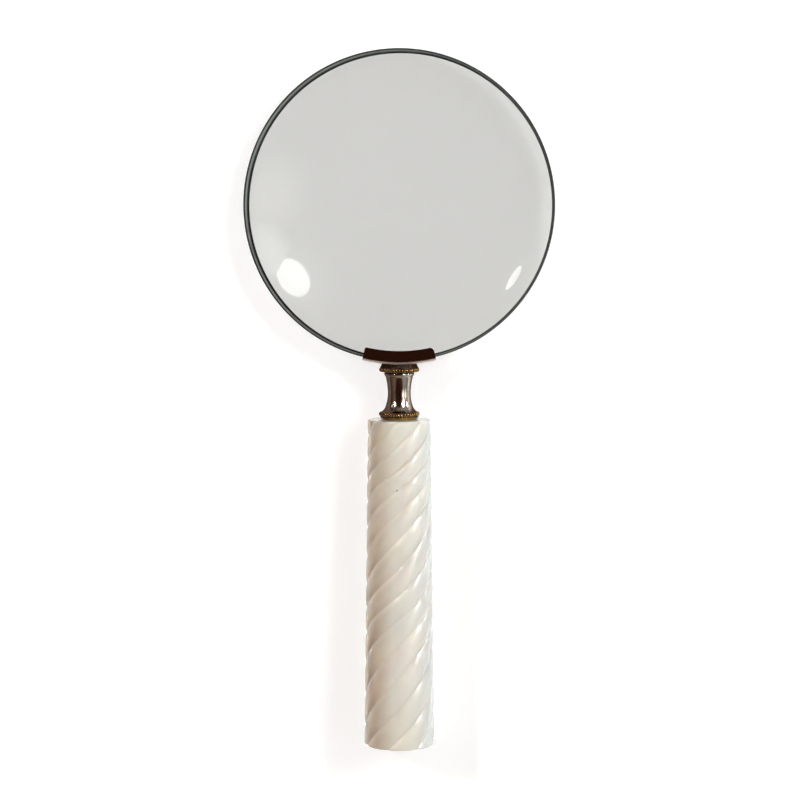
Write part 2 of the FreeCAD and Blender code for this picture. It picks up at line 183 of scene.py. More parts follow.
class Nodes:
    """A new material's node tree, with short ways to add and join nodes."""

    def __init__(self, name):
        self.material = bpy.data.materials.new(name)
        self.material.use_nodes = True
        self.tree = self.material.node_tree
        self.surface = self.tree.nodes["Principled BSDF"]
        self.output = self.tree.nodes["Material Output"]

    def add(self, kind, **values):
        node = self.tree.nodes.new(kind)
        for name, value in values.items():
            setattr(node, name, value)
        return node

    def link(self, output, socket):
        self.tree.links.new(output, socket)

    def set(self, **values):
        """Fixed values of the surface's sockets, by their names with underscores for spaces."""
        for name, value in values.items():
            self.surface.inputs[name.replace("_", " ")].default_value = value

    def position(self, stretch=(1, 1, 1)):
        """Where a point of the surface lies in the drawing axes, in millimetres, stretched."""
        coordinates = self.add("ShaderNodeTexCoord")
        mapping = self.add("ShaderNodeMapping", vector_type="POINT")
        inverse = REST.inverted()
        mapping.inputs["Location"].default_value = inverse.to_translation()
        mapping.inputs["Rotation"].default_value = inverse.to_euler()
        mapping.inputs["Scale"].default_value = inverse.to_scale()
        self.link(coordinates.outputs["Object"], mapping.inputs["Vector"])
        scale = self.add("ShaderNodeVectorMath", operation="MULTIPLY")
        scale.inputs[1].default_value = stretch
        self.link(mapping.outputs["Vector"], scale.inputs[0])
        return scale.outputs["Vector"]

    def noise(self, scale, stretch=(1, 1, 1), detail=4.0, roughness=0.55, distortion=0.0):
        """Fine-grained noise, with its scale in blobs per millimetre."""
        texture = self.add("ShaderNodeTexNoise")
        texture.inputs["Scale"].default_value = scale
        texture.inputs["Detail"].default_value = detail
        texture.inputs["Roughness"].default_value = roughness
        texture.inputs["Distortion"].default_value = distortion
        self.link(self.position(stretch), texture.inputs["Vector"])
        return texture.outputs["Fac"]

    def value(self, name):
        """A number stored on the mesh by give_values."""
        return self.add("ShaderNodeAttribute", attribute_name=name).outputs["Fac"]

    def ramp(self, factor, *stops):
        """A colour that follows a factor through (position, colour) stops."""
        node = self.add("ShaderNodeValToRGB")
        elements = node.color_ramp.elements
        while len(elements) < len(stops):
            elements.new(0.5)
        for element, (position, colour) in zip(elements, stops):
            element.position = position
            element.color = (*colour, 1)
        self.link(factor, node.inputs["Fac"])
        return node.outputs["Color"]

    def span(self, factor, low, high, start=0.3, end=0.7):
        """A number between low and high that follows a factor from start to end."""
        node = self.add("ShaderNodeMapRange")
        values = {"From Min": start, "From Max": end, "To Min": low, "To Max": high}
        for name, value in values.items():
            node.inputs[name].default_value = value
        self.link(factor, node.inputs["Value"])
        return node.outputs["Result"]

    def blend(self, factor, first, second):
        """One colour laid over another."""
        node = self.add("ShaderNodeMix", data_type="RGBA")
        for socket, value in ((0, factor), (6, first), (7, second)):
            if isinstance(value, bpy.types.NodeSocket):
                self.link(value, node.inputs[socket])
            elif isinstance(value, tuple):
                node.inputs[socket].default_value = (*value, 1)
            else:
                node.inputs[socket].default_value = value
        return node.outputs[2]

    def bump(self, height, depth, strength):
        """Raises the surface by a height between 0 and 1, times depth in millimetres."""
        node = self.add("ShaderNodeBump")
        node.inputs["Strength"].default_value = strength
        node.inputs["Distance"].default_value = depth * MM
        self.link(height, node.inputs["Height"])
        self.link(node.outputs["Normal"], self.surface.inputs["Normal"])


# Painted shade on the metals: surfaces that face away from this side are darkened toward their dull
# colour.
LIT_SIDE = 0.26 * RIGHT + 0.965 * FRONT
UNSHADED_FROM = 0.83  # a surface that faces that side at least this squarely gets no painted shade
FULLY_SHADED_TO = 0.55  # and one that faces it less squarely than this gets the full painted shade
FLANK_SHADE_STRENGTH = 0.95
# Painted highlight: the pale, rough, non-metallic colour on the outside of the saddle's bends.
PAINTED_HIGHLIGHT_COLOUR = (0.80, 0.68, 0.60)
PAINTED_HIGHLIGHT_ROUGHNESS = 0.55


def make_metal(name, bright, dull, roughness, worn=0.55, edge=(1.0, 1.0, 1.0)):
    """Polished metal: mottled, with painted shade darkening its flanks that face away from the lit
    side, finely scratched.

    Where a mesh stores a value for it, the metal there is pale and rough: a painted highlight.
    """
    nodes = Nodes(name)
    nodes.set(Specular_Tint=(*edge, 1))
    mottle = nodes.noise(0.9, detail=6.0, roughness=0.6, distortion=0.4)
    rubbed = nodes.ramp(mottle, (0.3, bright), (worn, bright), (worn + 0.25, dull))
    # Painted shade: darkens the flanks by the way they face.
    geometry = nodes.add("ShaderNodeNewGeometry")
    facing = nodes.add("ShaderNodeVectorMath", operation="DOT_PRODUCT")
    facing.inputs[1].default_value = LIT_SIDE
    nodes.link(geometry.outputs["Normal"], facing.inputs[0])
    flank_shade = nodes.span(facing.outputs["Value"], FLANK_SHADE_STRENGTH, 0.0, FULLY_SHADED_TO, UNSHADED_FROM)
    painted_highlight = nodes.value("painted_highlight")
    highlighted_metal = nodes.blend(painted_highlight, nodes.blend(flank_shade, rubbed, dull), PAINTED_HIGHLIGHT_COLOUR)
    nodes.link(highlighted_metal, nodes.surface.inputs["Base Color"])
    rough = nodes.add("ShaderNodeMath", operation="MAXIMUM")
    nodes.link(nodes.span(mottle, roughness, roughness * 1.9), rough.inputs[0])
    nodes.link(nodes.span(painted_highlight, 0.0, PAINTED_HIGHLIGHT_ROUGHNESS, 0.0, 1.0), rough.inputs[1])
    nodes.link(nodes.span(painted_highlight, 1.0, 0.0, 0.0, 1.0), nodes.surface.inputs["Metallic"])
    nodes.link(rough.outputs[0], nodes.surface.inputs["Roughness"])
    nodes.bump(nodes.noise(6.0, stretch=(1, 1, 3), detail=3.0), 0.006, 0.5)
    return nodes.material


HANDLE_TOP_RADIUS = 10.4
HANDLE_BUTT_RADIUS = 11.7
# Painted shade on the handle: the left flank darker and warmer, the right flank darker and greyer.
LEFT_FLANK_SHADE = (0.40, 0.28, 0.155)
LEFT_FLANK_SHADE_BAND = (-9.5, -2.0)  # across the handle, from full painted shade to none
RIGHT_FLANK_SHADE = (0.52, 0.575, 0.60)
RIGHT_FLANK_SHADE_BAND = (HANDLE_BUTT_RADIUS / 4, HANDLE_BUTT_RADIUS)  # from no painted shade to full
# A darker tan tint laid along the grooves.
GROOVE_TINT_COLOUR = (0.66, 0.55, 0.42)
PORE_COLOUR = (0.14, 0.08, 0.05)
PORE_RADIUS = 0.38
PORE_ANGLE = math.radians(-4)
PORE_STATION = 92.4
PORE_SPREAD = (1, 0.3, 1)  # depth counts less, so that the pore goes in below the surface


def pore_centre():
    """The pore's place on the front of the handle, in the stretched position of its material."""
    across = HANDLE_TOP_RADIUS * math.sin(PORE_ANGLE)
    front = HANDLE_TOP_RADIUS * math.cos(PORE_ANGLE)
    return across * PORE_SPREAD[0], front * PORE_SPREAD[1], PORE_STATION * PORE_SPREAD[2]


def make_bone():
    """Bleached bone: growth streaks, painted shade darkening its left and right flanks,
    darker-tinted grooves and one pore.
    """
    nodes = Nodes("bone")
    streaks = nodes.noise(0.35, stretch=(1, 1, 0.2), detail=5.0)
    body = nodes.ramp(streaks, (0.3, (0.745, 0.735, 0.675)), (0.7, (0.775, 0.765, 0.71)))
    split = nodes.add("ShaderNodeSeparateXYZ")
    nodes.link(nodes.position(), split.inputs[0])
    # Painted shade: both flanks are darkened by where they lie across the handle.
    left_flank = nodes.span(split.outputs["X"], 0.85, 0.0, *LEFT_FLANK_SHADE_BAND)
    right_flank = nodes.span(split.outputs["X"], 0.0, 0.7, *RIGHT_FLANK_SHADE_BAND)
    right_shaded = nodes.blend(right_flank, body, RIGHT_FLANK_SHADE)
    left_shaded = nodes.blend(left_flank, right_shaded, LEFT_FLANK_SHADE)
    clouds = nodes.noise(0.09, stretch=(1, 1, 0.6), detail=2.0)
    aged = nodes.blend(nodes.span(clouds, 0.0, 0.3), left_shaded, (0.80, 0.74, 0.62))
    groove_tinted = nodes.blend(nodes.value("groove"), aged, GROOVE_TINT_COLOUR)
    away = nodes.add("ShaderNodeVectorMath", operation="DISTANCE")
    away.inputs[1].default_value = pore_centre()
    nodes.link(nodes.position(PORE_SPREAD), away.inputs[0])
    pore = nodes.span(away.outputs["Value"], 0.9, 0.0, 0.2, PORE_RADIUS)
    pored = nodes.blend(pore, groove_tinted, PORE_COLOUR)
    nodes.link(pored, nodes.surface.inputs["Base Color"])
    nodes.set(Subsurface_Weight=0.15, Subsurface_Scale=0.6 * MM, IOR=1.54,
              Coat_Weight=0.8, Coat_Roughness=0.13)
    nodes.surface.inputs["Subsurface Radius"].default_value = (1.0, 0.6, 0.35)
    nodes.link(nodes.span(streaks, 0.20, 0.27), nodes.surface.inputs["Roughness"])
    nodes.bump(nodes.noise(2.0, stretch=(1, 1, 0.3), detail=4.0), 0.01, 0.3)
    return nodes.material


def let_light_through(nodes, tint):
    """Lets light pass into the shadow of a glass surface, so that the floor shows through it."""
    clear = nodes.add("ShaderNodeBsdfTransparent")
    clear.inputs["Color"].default_value = (*tint, 1)
    path = nodes.add("ShaderNodeLightPath")
    choice = nodes.add("ShaderNodeMixShader")
    nodes.link(path.outputs["Is Shadow Ray"], choice.inputs[0])
    nodes.link(nodes.surface.outputs[0], choice.inputs[1])
    nodes.link(clear.outputs[0], choice.inputs[2])
    nodes.link(choice.outputs[0], nodes.output.inputs["Surface"])


def make_glass():
    """Clear, slightly grey glass, with faint smears from wiping."""
    nodes = Nodes("glass")
    nodes.set(Transmission_Weight=1.0, IOR=1.52, Base_Color=(0.715, 0.722, 0.708, 1))
    smears = nodes.noise(0.05, detail=3.0)
    nodes.link(nodes.span(smears, 0.0, 0.015, 0.4, 0.8), nodes.surface.inputs["Roughness"])
    let_light_through(nodes, (0.75, 0.75, 0.75))
    return nodes.material


def make_ground_edge():
    """The lens's bevels and edge wall: dark ground glass, with a paler band along the edge wall and
    a painted highlight along each bevel.
    """
    nodes = Nodes("ground_edge")
    grain = nodes.noise(2.5, detail=5.0)
    dark = nodes.ramp(grain, (0.3, (0.003, 0.005, 0.005)), (0.7, (0.012, 0.016, 0.015)))
    # Painted highlight along the bevels; the paler band of the edge wall is the wall's own colour.
    pale_and_highlighted = nodes.blend(nodes.value("pale_wall_and_bevel_highlight"), dark, (0.33, 0.375, 0.36))
    nodes.link(pale_and_highlighted, nodes.surface.inputs["Base Color"])
    nodes.link(nodes.span(grain, 0.12, 0.25), nodes.surface.inputs["Roughness"])
    nodes.set(Specular_IOR_Level=0.25)
    nodes.bump(grain, 0.01, 0.3)
    let_light_through(nodes, (0.7, 0.7, 0.7))
    return nodes.material


def make_plain(name, dark, light, roughness, metallic=0.0, stretch=(1, 1, 1)):
    """A grained material for the cement, the core and the hardware inside the handle."""
    nodes = Nodes(name)
    grain = nodes.noise(1.5, stretch=stretch, detail=6.0)
    nodes.link(nodes.ramp(grain, (0.3, dark), (0.7, light)), nodes.surface.inputs["Base Color"])
    nodes.link(nodes.span(grain, roughness, roughness * 1.4), nodes.surface.inputs["Roughness"])
    nodes.set(Metallic=metallic)
    nodes.bump(grain, 0.02, 0.5)
    return nodes.material


NICKEL = make_metal("nickel", (0.56, 0.50, 0.44), (0.09, 0.06, 0.05), 0.08, edge=(0.40, 0.33, 0.27))
DARK_NICKEL = make_metal(
    "dark_nickel", (0.13, 0.085, 0.065), (0.05, 0.03, 0.02), 0.16, edge=(0.3, 0.25, 0.2)
)
BRASS = make_metal("brass", (0.50, 0.31, 0.09), (0.11, 0.045, 0.025), 0.16, worn=0.40)
GRIME = make_plain("grime", (0.012, 0.006, 0.004), (0.05, 0.028, 0.018), 0.4, 0.5)
BONE = make_bone()
GLASS = make_glass()
GROUND_EDGE = make_ground_edge()
CEMENT = make_plain("cement", (0.05, 0.03, 0.025), (0.10, 0.07, 0.05), 0.5)
STEEL = make_plain("steel", (0.38, 0.37, 0.35), (0.55, 0.54, 0.52), 0.28, 1.0)
WOOD = make_plain("wood", (0.30, 0.17, 0.08), (0.50, 0.32, 0.17), 0.6, stretch=(1, 1, 0.1))

# ------------------------------------------------------------------ the lens

LENS_RADIUS = LENS_HIGH.x / MM
LENS_HALF = max(point.y for point in own_points("lens"))
FACE_RADIUS = 234.0
BEVEL_WIDTH = 1.6
BEVEL_SHIFT = 0.52
BEVEL_SHIFT_ANGLE = math.radians(160)  # from right toward the side of the lens away from the handle
# Painted highlight: a pale band along the middle of each bevel, palest toward the lower left.
BEVEL_HIGHLIGHT_ANGLE = math.radians(190)
BEVEL_HIGHLIGHT_MIDDLE = 0.57  # of the way across the bevel
BEVEL_HIGHLIGHT_WIDTH = 0.15
EDGE_WALL_HALF = 1.0
EDGE_WALL_PALENESS = ((0.85, 0.5), (0.6, 0.9), (0.0, 1.0), (-0.6, 0.9), (-0.85, 0.5))
LENS_STEPS = 288
FACE_RINGS = 40
BEVEL_RINGS = 10
LENS_SHARP_ANGLE = math.radians(12)


def lens_height(radius):
    """How far the lens's front face stands above its middle plane."""
    return LENS_HALF - FACE_RADIUS + math.sqrt(FACE_RADIUS**2 - radius**2)


def bevel_width(angle):
    """How wide the bevel is at this angle round the lens."""
    return BEVEL_WIDTH + BEVEL_SHIFT * math.cos(angle - BEVEL_SHIFT_ANGLE)


def pale_wall_and_bevel_highlight(across, angle):
    """How pale the bevel's painted highlight is: a narrow band along its middle, palest toward the
    lower left.
    """
    band = math.exp(-(((across - BEVEL_HIGHLIGHT_MIDDLE) / BEVEL_HIGHLIGHT_WIDTH) ** 2))
    return band * (0.5 + 0.5 * math.cos(angle - BEVEL_HIGHLIGHT_ANGLE))


def ring_point(radius, angle, height):
    """A point of the lens at this distance and angle from its middle."""
    return radius * math.cos(angle), height, -radius * math.sin(angle)


def lens_side(side):
    """The points of one side of the lens from its middle out, with the painted bevel highlight of
    each.
    """
    points, values = [], []
    for ring in range(1, FACE_RINGS + 1):
        for step in range(LENS_STEPS):
            angle = math.tau * step / LENS_STEPS
            radius = (LENS_RADIUS - bevel_width(angle)) * ring / FACE_RINGS
            points.append(ring_point(radius, angle, side * lens_height(radius)))
            values.append(0.0)
    for ring in range(1, BEVEL_RINGS + 1):
        across = ring / BEVEL_RINGS
        for step in range(LENS_STEPS):
            angle = math.tau * step / LENS_STEPS
            width = bevel_width(angle)
            radius = LENS_RADIUS - width * (1 - across)
            height = mix(lens_height(LENS_RADIUS - width), EDGE_WALL_HALF, across)
            points.append(ring_point(radius, angle, side * height))
            values.append(pale_wall_and_bevel_highlight(across, angle))
    points.append((0, side * LENS_HALF, 0))
    values.append(0.0)
    return points, values


def lens_wall():
    """Rings of points down the lens's edge wall, which is palest along its middle."""
    points, values = [], []
    for depth, value in EDGE_WALL_PALENESS:
        for step in range(LENS_STEPS):
            angle = math.tau * step / LENS_STEPS
            points.append(ring_point(LENS_RADIUS, angle, EDGE_WALL_HALF * depth))
            values.append(value)
    return points, values


def make_lens():
    """A double-convex lens. Its bevels were ground a little off centre, so they vary in width."""
    front, front_values = lens_side(1)
    back, back_values = lens_side(-1)
    rings = FACE_RINGS + BEVEL_RINGS
    faces, kinds = [], []
    for start, outward in ((0, -1), (len(front), 1)):
        for index, face in enumerate(grid_faces(rings, LENS_STEPS, False, True)):
            faces.append(tuple(start + corner for corner in face)[::outward])
            kinds.append(int(index >= (FACE_RINGS - 1) * LENS_STEPS))
        for step in range(LENS_STEPS):
            cap = (start + len(front) - 1, start + (step + 1) % LENS_STEPS, start + step)
            faces.append(cap[::outward])
            kinds.append(0)
    wall, wall_values = lens_wall()
    last = (rings - 1) * LENS_STEPS
    start = len(front) + len(back)
    levels = [last, *range(start, start + len(wall), LENS_STEPS), len(front) + last]
    for above, below in zip(levels, levels[1:]):
        for step in range(LENS_STEPS):
            beside = (step + 1) % LENS_STEPS
            faces.append((above + step, below + step, below + beside, above + beside))
            kinds.append(1)
    lens = new_piece("lens_glass", front + back + wall, faces, [GLASS, GROUND_EDGE], kinds)
    lens.data.set_sharp_from_angle(angle=LENS_SHARP_ANGLE)
    give_values(lens, "pale_wall_and_bevel_highlight", front_values + back_values + wall_values)
    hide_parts("lens")


# ------------------------------------------------------------------ the saddle and the ferrule

COLLAR_TOP, COLLAR_FOOT = ends_of("upper_collar")
COLUMN_START, COLUMN_END = ends_of("column")
UPPER_RING_FOOT = ends_of("upper_bead_ring")[1]
LOWER_RING_TOP, LOWER_RING_FOOT = ends_of("lower_bead_ring")
HANDLE_TOP, HANDLE_BUTT = ends_of("handle_sleeve")
ROD_HOLE = 2.1
WEB_OUTSIDE = max(math.hypot(point.x, point.z) for point in own_points("saddle_channel"))
CHANNEL_HALF_DEPTH = max(point.y for point in own_points("saddle_channel"))
CHANNEL_HALF_SPAN = max(abs(math.atan2(point.x, point.z)) for point in own_points("saddle_channel"))
CHANNEL_THICKNESS = 0.85
LIP_HEIGHT = 4.45
OUTER_BEND = 1.1
INNER_BEND = 0.2
BEND_PARTS = 8
HIGHLIGHT_FADE = 3  # parts of a bend over which the painted highlight comes in
LEFT_CORNER = 0.6
RIGHT_CORNER = 1.5
SPIGOT_RADII = (4.2, 4.6)
BEADS = 44
BEAD_STEPS = 12
BEAD_RINGS = 7
BEAD_BEDDING = 1.05  # how far below the beads' tops their dark core lies, in half-widths of a bead
UPPER_BEAD = (0.5, 0.40, 0.66)
LOWER_BEAD = (0.5, 0.41, 0.64)
BAND_ROUND = (0.25, 0.2)  # how far inward and along the base collar's top edge is taken off
BAND_TAPER = (0.1, 0.55)  # and how far inward and along its taper to the handle begins


def channel_side(half, web, bend, top):
    """One side of the U, from one lip to the other, as (depth, distance from the lens middle)."""
    front = [(half, top)]
    for part in range(BEND_PARTS + 1):
        turn = math.pi / 2 * part / BEND_PARTS
        front.append((half - bend * (1 - math.cos(turn)), web - bend * (1 - math.sin(turn))))
    front.append((0, web))
    back = [(-depth, distance) for depth, distance in front[-2::-1]]
    return front + back


def channel_highlight():
    """How much painted highlight each point of a row of the U gets: the outside of its two bends
    gets it.
    """
    bend = [min(max((part - 1) / HIGHLIGHT_FADE, 0), 1) for part in range(BEND_PARTS + 1)]
    outer = [0, *bend, 1, *bend[::-1], 0]
    return outer + [0] * len(outer)


def make_saddle():
    """The strip bent into a U and curved round the lens, its lips rounded at their four corners."""
    rows = []
    for part in range(LENS_STEPS // 2 + 1):
        angle = -math.cos(math.tau * part / LENS_STEPS) * CHANNEL_HALF_SPAN
        corner = LEFT_CORNER if angle < 0 else RIGHT_CORNER
        from_end = (CHANNEL_HALF_SPAN - abs(angle)) * WEB_OUTSIDE
        drop = corner - math.sqrt(corner**2 - max(corner - from_end, 0) ** 2)
        top = WEB_OUTSIDE - LIP_HEIGHT + drop
        inside = CHANNEL_HALF_DEPTH - CHANNEL_THICKNESS
        outer = channel_side(CHANNEL_HALF_DEPTH, WEB_OUTSIDE, OUTER_BEND, top)
        inner = channel_side(inside, WEB_OUTSIDE - CHANNEL_THICKNESS, INNER_BEND, top)
        rows.append([
            (distance * math.sin(angle), depth, distance * math.cos(angle))
            for depth, distance in outer + inner[::-1]
        ])
    points = [point for row in rows for point in row]
    columns = len(rows[0])
    faces = grid_faces(len(rows), columns, False, True)
    for start, flip in ((0, True), (len(points) - columns, False)):
        for step in range(columns // 2 - 1):
            partner = columns - 1 - step
            face = (start + step, start + step + 1, start + partner - 1, start + partner)
            faces.append(face[::-1] if flip else face)
    saddle = new_piece("saddle", points, faces, [NICKEL])
    # Painted highlight on the outside of the saddle's two bends.
    give_values(saddle, "painted_highlight", channel_highlight() * len(rows))
    round_edges(saddle, 0.22)
    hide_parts("saddle_channel")


def make_turned(name, outline, material, node, rounding):
    """A lathe-turned piece in place of its CAD node."""
    points, faces = lathe(outline)
    piece = new_piece(name, points, faces, [material])
    round_edges(piece, rounding)
    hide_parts(node)


def make_collar_seat():
    """The cone under the saddle, its top hollowed to the saddle's curve."""
    top, foot = radius_at("upper_collar", COLLAR_TOP), radius_of("upper_collar")
    points, faces = lathe([
        (ROD_HOLE, COLLAR_TOP), (top, COLLAR_TOP), (foot, COLLAR_FOOT), (ROD_HOLE, COLLAR_FOOT),
    ])
    seated = []
    for across, front, station in points:
        curve = math.sqrt(WEB_OUTSIDE**2 - across**2)
        seated.append((across, front, max(station, curve)))
    piece = new_piece("collar_seat", seated, faces, [DARK_NICKEL])
    round_edges(piece, 0.15)
    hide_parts("upper_collar")


def make_column():
    """The waisted column, with a rounded shoulder and a flared foot."""
    neck, foot = UPPER_RING_FOOT, LOWER_RING_TOP
    upper_spigot, lower_spigot = SPIGOT_RADII
    shoulder = ((4.55, neck), (4.80, neck + 0.25), (4.98, neck + 0.65), (4.86, neck + 1.1))
    waist = ((4.48, neck + 1.75), (3.98, neck + 4.3), (3.77, neck + 6.9), (3.95, neck + 9.2))
    flare = ((4.52, neck + 11.35), (5.08, neck + 12.4), (5.95, foot - 0.06), (6.1, foot))
    outline = [
        (ROD_HOLE, COLUMN_START), (upper_spigot, COLUMN_START), (upper_spigot, neck),
        *curve_through(shoulder + waist + flare),
        (lower_spigot, foot), (lower_spigot, COLUMN_END), (ROD_HOLE, COLUMN_END),
    ]
    make_turned("column_turned", outline, NICKEL, "column", 0.08)


def add_bead(points, faces, centre, size):
    """Adds one egg-shaped bead to a mesh; size is its half-width outward, sideways and along."""
    start = len(points)
    outward = Vector((centre.x, centre.y, 0)).normalized()
    sideways = Vector((-outward.y, outward.x, 0))
    for ring in range(BEAD_RINGS + 1):
        polar = math.pi * ring / BEAD_RINGS
        for step in range(BEAD_STEPS):
            angle = math.tau * step / BEAD_STEPS
            reach = size[0] * math.sin(polar) * math.cos(angle)
            swing = size[1] * math.sin(polar) * math.sin(angle)
            rise = Vector((0, 0, size[2] * math.cos(polar)))
            points.append(centre + reach * outward + swing * sideways + rise)
    for face in grid_faces(BEAD_RINGS + 1, BEAD_STEPS, False, True):
        faces.append(tuple(start + corner for corner in face))


def make_bead_ring(name, node, size):
    """A row of egg-shaped beads standing out of a dark core."""
    top, foot = ends_of(node)
    inner, outer = radius_inside(node), radius_of(node)
    core = outer - size[0] * BEAD_BEDDING
    ease = (foot - top) / 6
    points, faces = lathe([
        (inner, top), (core - ease, top), (core, top + ease),
        (core, foot - ease), (core - ease, foot), (inner, foot),
    ])
    kinds = [1] * len(faces)
    reach = outer - size[0]
    for bead in range(BEADS):
        angle = math.tau * bead / BEADS
        centre = Vector((reach * math.sin(angle), reach * math.cos(angle), (top + foot) / 2))
        add_bead(points, faces, centre, size)
    kinds += [0] * (len(faces) - len(kinds))
    piece = new_piece(name, points, faces, [BRASS, GRIME], kinds)
    weld(piece)
    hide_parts(node)


def make_base_collar():
    """The plain band under the lower ring, rounded at its top and tapered in to the handle."""
    top, foot = radius_at("base_collar", LOWER_RING_FOOT), radius_at("base_collar", HANDLE_TOP)
    start = LOWER_RING_FOOT
    outline = [
        (ROD_HOLE, start), (top - BAND_ROUND[0], start), (top, start + BAND_ROUND[1]),
        (top - BAND_TAPER[0], start + BAND_TAPER[1]), (foot, HANDLE_TOP), (ROD_HOLE, HANDLE_TOP),
    ]
    make_turned("base_collar_turned", outline, BRASS, "base_collar", 0.06)


# ------------------------------------------------------------------ the handle

MARROW_BORE = 4.5
BUTT_RECESS = 6.5
BUTT_RECESS_DEPTH = 8.3
RIM_ROUND = 0.45
RIM_PARTS = 6
FACE_INSET = 3.0
FACE_PARTS = 4
FLUTES = 7
FLUTE_DEPTH = 0.7
FLUTE_POINTS = 20
FLUTE_SHARPNESS = 3.5
GROOVE_SOFTNESS = 0.012
GROOVE_OFFSET = -0.5
GROOVE_PITCH = 7.22
GROOVE_PITCH_GROWTH = 0.125
GROOVE_WANDER = 0.95
GROOVE_WANDER_PERIOD = 5.0
GROOVE_WANDER_START = 1.5
GROOVES_SEARCHED = (-5.0, 50.0)  # more grooves than pass any station of the handle
GROOVE_PRECISION = 1e-9
GROOVE_TINT_STRENGTH = 0.18
GROOVE_TINT_WIDTH = 0.06
ROWS = 260
BORE_ROWS = 60
HANDLE_SHARP_ANGLE = math.radians(50)


def groove_station(passed):
    """Where along the front of the handle the groove with this number lies."""
    swing = math.cos(math.tau * (passed - GROOVE_WANDER_START) / GROOVE_WANDER_PERIOD)
    even = GROOVE_OFFSET + GROOVE_PITCH * passed + GROOVE_PITCH_GROWTH * passed**2
    return HANDLE_TOP + even + GROOVE_WANDER * swing


def grooves_passed(station):
    """How many grooves lie between the first one and this station, as a fraction."""
    low, high = GROOVES_SEARCHED
    while high - low > GROOVE_PRECISION:
        middle = (low + high) / 2
        if groove_station(middle) < station:
            low = middle
        else:
            high = middle
    return (low + high) / 2


def flute_share(point):
    """How far across its flute, from 0 to 1, a point of a row lies. They crowd by the grooves."""
    return (1 - math.cos(math.pi * (point % FLUTE_POINTS) / FLUTE_POINTS)) / 2


def row_angles(station):
    """The angles of a row's points round the handle, which follow its twist."""
    turn = -grooves_passed(station)
    for point in range(FLUTES * FLUTE_POINTS):
        yield math.tau * (turn + point // FLUTE_POINTS + flute_share(point)) / FLUTES


def flute_drop(share):
    """How far below the crest the surface lies: 0 on the crest, the flute's depth in the groove."""
    from_groove = min(share, 1 - share)
    softened = math.hypot(from_groove, GROOVE_SOFTNESS) - GROOVE_SOFTNESS
    return FLUTE_DEPTH * (1 - 2 * softened) ** FLUTE_SHARPNESS


def fluted_row(station, inset):
    """One row of points round the handle, drawn in by inset."""
    along = (station - HANDLE_TOP) / (HANDLE_BUTT - HANDLE_TOP)
    crest = mix(HANDLE_TOP_RADIUS, HANDLE_BUTT_RADIUS, along)
    row = []
    for point, angle in enumerate(row_angles(station)):
        radius = crest - flute_drop(flute_share(point)) - inset
        row.append((radius * math.sin(angle), radius * math.cos(angle), station))
    return row


def plain_row(station, radius):
    """One row of points round a bore or an edge, at the same angles as the fluted row there."""
    return [
        (radius * math.sin(angle), radius * math.cos(angle), station)
        for angle in row_angles(station)
    ]


def groove_tint(point):
    """How strongly a point of a row is tinted darker: most in the groove, none outside it."""
    from_groove = min(flute_share(point), 1 - flute_share(point))
    return GROOVE_TINT_STRENGTH * math.exp(-((from_groove / GROOVE_TINT_WIDTH) ** 2))


def make_handle():
    """The carved bone sleeve, bored through, with rounded rims and a recess in the butt."""
    rows = []
    for part in range(FACE_PARTS):
        rows.append(fluted_row(HANDLE_TOP, mix(FACE_INSET, RIM_ROUND, part / FACE_PARTS)))
    rim = []
    for part in range(RIM_PARTS + 1):
        turn = math.pi / 2 * part / RIM_PARTS
        rim.append((RIM_ROUND * (1 - math.sin(turn)), RIM_ROUND * (1 - math.cos(turn))))
    rows += [fluted_row(HANDLE_TOP + down, inset) for inset, down in rim]
    for row in range(1, ROWS):
        share = row / ROWS
        rows.append(fluted_row(mix(HANDLE_TOP + RIM_ROUND, HANDLE_BUTT - RIM_ROUND, share), 0))
    rows += [fluted_row(HANDLE_BUTT - up, inset) for inset, up in rim[::-1]]
    for part in range(1, FACE_PARTS + 1):
        rows.append(fluted_row(HANDLE_BUTT, mix(RIM_ROUND, FACE_INSET, part / FACE_PARTS)))
    rows.append(plain_row(HANDLE_BUTT, BUTT_RECESS))
    rows.append(plain_row(HANDLE_BUTT - BUTT_RECESS_DEPTH, BUTT_RECESS))
    rows.append(plain_row(HANDLE_BUTT - BUTT_RECESS_DEPTH, MARROW_BORE))
    for row in range(1, BORE_ROWS):
        station = mix(HANDLE_BUTT - BUTT_RECESS_DEPTH, HANDLE_TOP, row / BORE_ROWS)
        rows.append(plain_row(station, MARROW_BORE))
    rows.append(plain_row(HANDLE_TOP, MARROW_BORE))
    points = [point for row in rows for point in row]
    faces = grid_faces(len(rows), FLUTES * FLUTE_POINTS, True, True)
    handle = new_piece("handle_carved", points, faces, [BONE])
    handle.data.set_sharp_from_angle(angle=HANDLE_SHARP_ANGLE)
    give_values(handle, "groove", [groove_tint(point) for row in rows for point in range(len(row))])
    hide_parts("handle_sleeve")


INNER_FINISHES = {
    "lens_cement": CEMENT,
    "butt_plug": BONE,
    "core_dowel": WOOD,
    "tie_rod": STEEL,
    "butt_washer": STEEL,
    "butt_nut": STEEL,
}


def finish_inner_pieces():
    """The CAD nodes that stay as they are get their finishes."""
    for node, material in INNER_FINISHES.items():
        mesh = frame["nodes"][node].data
        mesh.materials.clear()
        mesh.materials.append(material)


make_lens()
make_saddle()
make_collar_seat()
make_bead_ring("beads_upper", "upper_bead_ring", UPPER_BEAD)
make_column()
make_bead_ring("beads_lower", "lower_bead_ring", LOWER_BEAD)
make_base_collar()
make_handle()
finish_inner_pieces()

# ------------------------------------------------------------------ floor, light and camera

